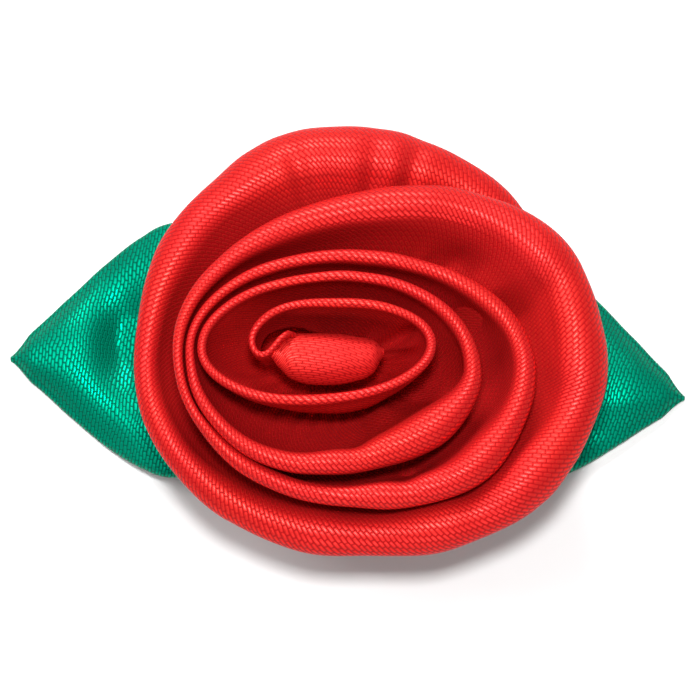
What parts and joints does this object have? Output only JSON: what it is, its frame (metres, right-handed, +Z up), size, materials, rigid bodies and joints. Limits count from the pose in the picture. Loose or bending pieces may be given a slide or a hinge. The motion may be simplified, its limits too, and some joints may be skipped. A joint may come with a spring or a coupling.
{
  "type": "ribbon rose lapel rosette",
  "caption": "Satin ribbon rose with a leaf of folded ribbon on each side and a pin on its back, worn on a lapel.",
  "frame": {"origin": "middle of the box, on the surface that the rosette lies on", "axes": "+Z up out of the flower, +X from the left leaf to the right leaf"},
  "size_m": [0.04, 0.0258, 0.0124],
  "materials": {
    "red_satin": "satin weave, glossy along the floats",
    "green_satin": "satin weave, glossy along the floats",
    "pin_steel": "plain nickel-plated steel"
  },
  "bodies": {
    "root": {"rose_ribbon": "red_satin", "bud_core": "red_satin", "leaf_left": "green_satin", "leaf_right": "green_satin", "lapel_pin": "pin_steel"}
  },
  "joints": []
}
